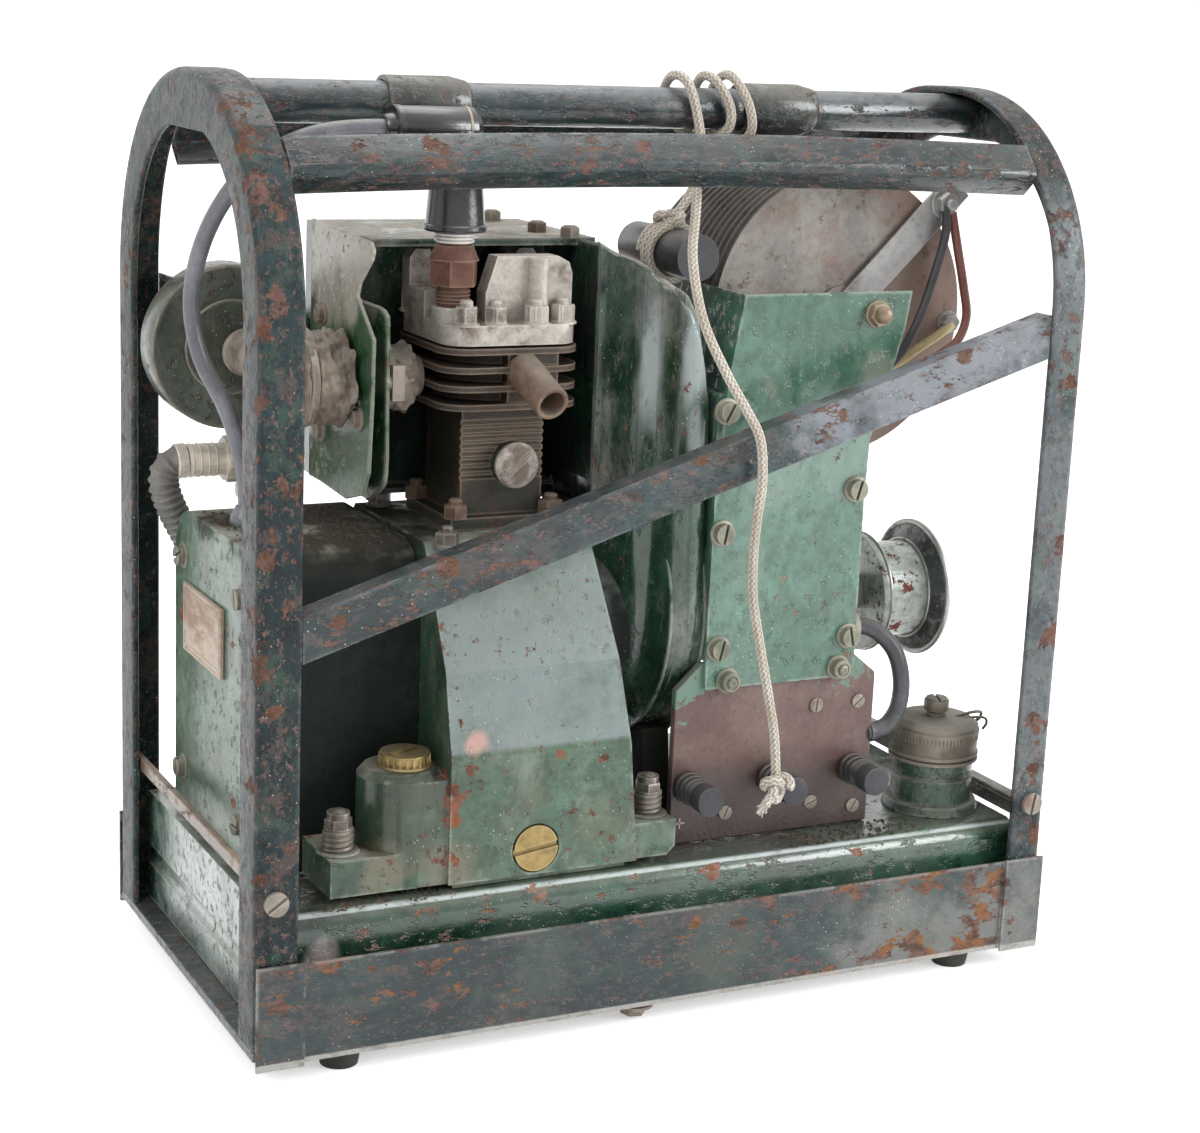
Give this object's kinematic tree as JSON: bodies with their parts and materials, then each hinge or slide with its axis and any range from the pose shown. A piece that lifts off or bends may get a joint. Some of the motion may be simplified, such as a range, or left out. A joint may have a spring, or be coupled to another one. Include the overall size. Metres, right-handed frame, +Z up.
{
  "type": "generator set",
  "caption": "Small engine-driven generator set on a flat fuel tank, inside a carrying cage of bent angle iron with a handle tube over the top.",
  "frame": {"origin": "middle of the set on the level floor under its rubber feet", "axes": "+X along the set towards the starter pulley, +Y from the control panel side to the back, +Z up"},
  "size_m": [0.36, 0.1966, 0.3816],
  "materials": {
    "cage_paint": "worn blue-green paint with rust",
    "skirt_paint": "worn blue-green paint with rust patches",
    "tan_steel": "tan paint, grimy",
    "feet_rubber": "old black rubber",
    "tank_paint": "green paint, chipped",
    "cap_brass": "dull brass",
    "engine_paint": "green paint, dusty and chipped",
    "stud_steel": "dull steel",
    "plate_metal": "blank plate, weathered",
    "rusty_iron": "rusted cast iron",
    "head_alloy": "oxidised alloy",
    "plug_iron": "rusted steel",
    "black_moulding": "black moulding",
    "lead_rubber": "dark grey rubber",
    "carburettor_alloy": "dirty alloy",
    "cleaner_paint": "dark olive paint, worn rim",
    "shield_paint": "green paint, dusty",
    "cowl_paint": "green paint, dusty top",
    "hose_rubber": "corrugated hose, dusty",
    "box_paint": "green paint, chipped",
    "rectifier_metal": "dark grey coating, rust specks",
    "strap_metal": "dull strip",
    "wire_cover": "dark wire covering",
    "board_moulding": "red-brown moulding",
    "pulley_paint": "grey-green, worn",
    "rope_fibre": "braided cream cord"
  },
  "bodies": {
    "set": {"left_hoop": "cage_paint", "right_hoop": "cage_paint", "front_shoulder_rail": "cage_paint", "rear_shoulder_rail": "cage_paint", "handle_tube": "cage_paint", "handle_sleeves": "cage_paint", "front_brace": "cage_paint", "rear_brace": "cage_paint", "front_skirt": "skirt_paint", "rear_skirt": "skirt_paint", "left_cross_bar": "tan_steel", "right_cross_bar": "tan_steel", "end_ledges": "cage_paint", "rubber_feet": "feet_rubber", "fuel_tank": "tank_paint", "filler_neck": "tank_paint", "filler_cap": "cap_brass", "crankcase": "engine_paint", "case_plugs": "cap_brass", "mount_studs": "stud_steel", "dynamo_housing": "engine_paint", "name_plate": "plate_metal", "cylinder": "rusty_iron", "cylinder_head": "head_alloy", "exhaust_stub": "rusty_iron", "spark_plug": "plug_iron", "plug_cap": "black_moulding", "plug_lead": "lead_rubber", "carburettor": "carburettor_alloy", "air_cleaner": "cleaner_paint", "heat_shield": "shield_paint", "fan_cowl": "cowl_paint", "breather_hose": "hose_rubber", "hose_union": "cap_brass", "control_box": "box_paint", "rectifier_plates": "rectifier_metal", "rectifier_strap": "strap_metal", "rectifier_wires": "wire_cover", "terminal_board": "board_moulding", "terminals": "black_moulding", "board_cable": "wire_cover", "starter_rope": "rope_fibre", "rope_toggle": "black_moulding"},
    "starter": {"starter_pulley": "pulley_paint"}
  },
  "joints": [
    {"name": "starter_spin", "type": "hinge", "parent": "set", "child": "starter", "pos_m": [0.14, -0.009, 0.153], "axis": [1, 0, 0], "continuous": true}
  ]
}
